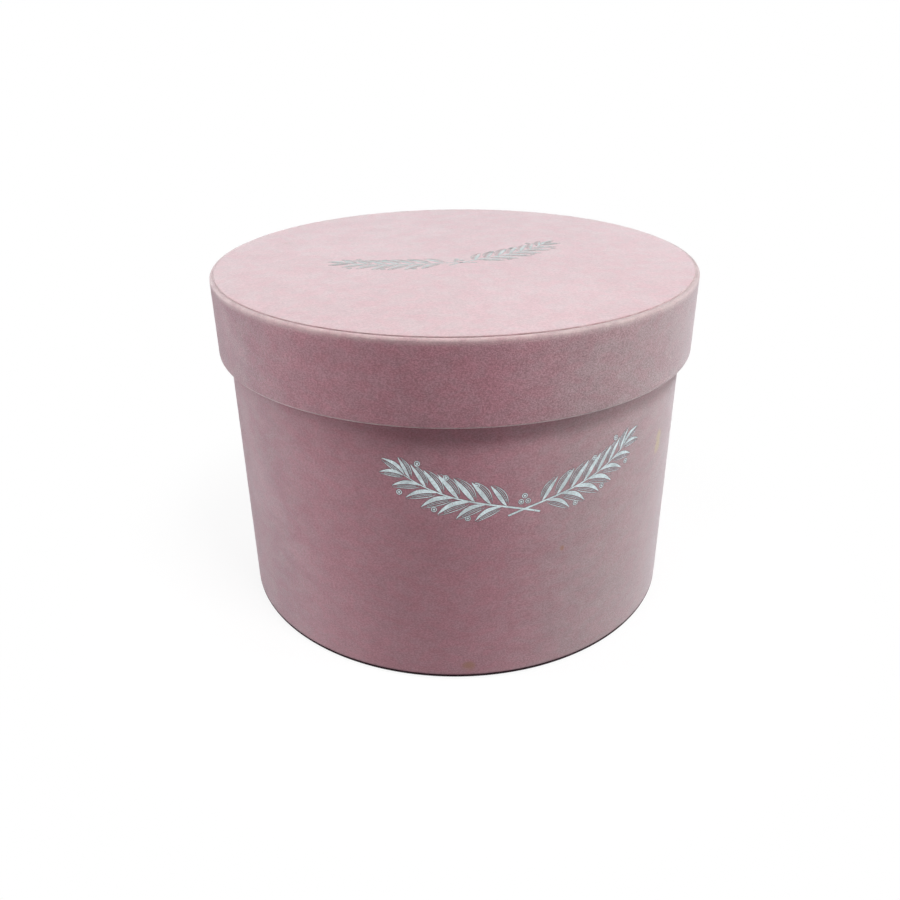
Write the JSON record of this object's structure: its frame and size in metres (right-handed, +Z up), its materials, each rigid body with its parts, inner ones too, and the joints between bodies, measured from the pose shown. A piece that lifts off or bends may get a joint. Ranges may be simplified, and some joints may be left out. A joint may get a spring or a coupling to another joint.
{
  "type": "flower box",
  "caption": "Round rigid flower box: board tube covered in velvet paper, with a watertight lined well and a deep lift-off lid.",
  "frame": {"origin": "on the table, at the centre of the box's underside, on its axis", "axes": "+Z up along the box's axis, with the foil ornament on the front at -Y and the covering's laps at the back at +Y"},
  "size_m": [0.1994, 0.1997, 0.1433],
  "materials": {
    "greyboard": "matte",
    "kraft_tape": "matte",
    "rose_velvet": "matte",
    "lining_paper": "matte",
    "film": "gloss",
    "silver_foil": "satin"
  },
  "bodies": {
    "body": {"body_board": "greyboard", "body_joint_tape": "kraft_tape", "base_board": "greyboard", "body_velvet": "rose_velvet", "base_cover": "lining_paper", "body_lining": "lining_paper", "floor_lining": "lining_paper", "waterproof_film": "film"},
    "lid": {"lid_band_board": "greyboard", "lid_joint_tape": "kraft_tape", "lid_top_board": "greyboard", "lid_band_velvet": "rose_velvet", "lid_infill": "lining_paper", "lid_top_velvet": "rose_velvet", "lid_band_lining": "lining_paper", "lid_ceiling_lining": "lining_paper"}
  },
  "joints": [
    {"name": "lid_lift", "type": "slide", "parent": "body", "child": "lid", "axis": [0, 0, 1], "range_m": [0, 0.15]}
  ]
}
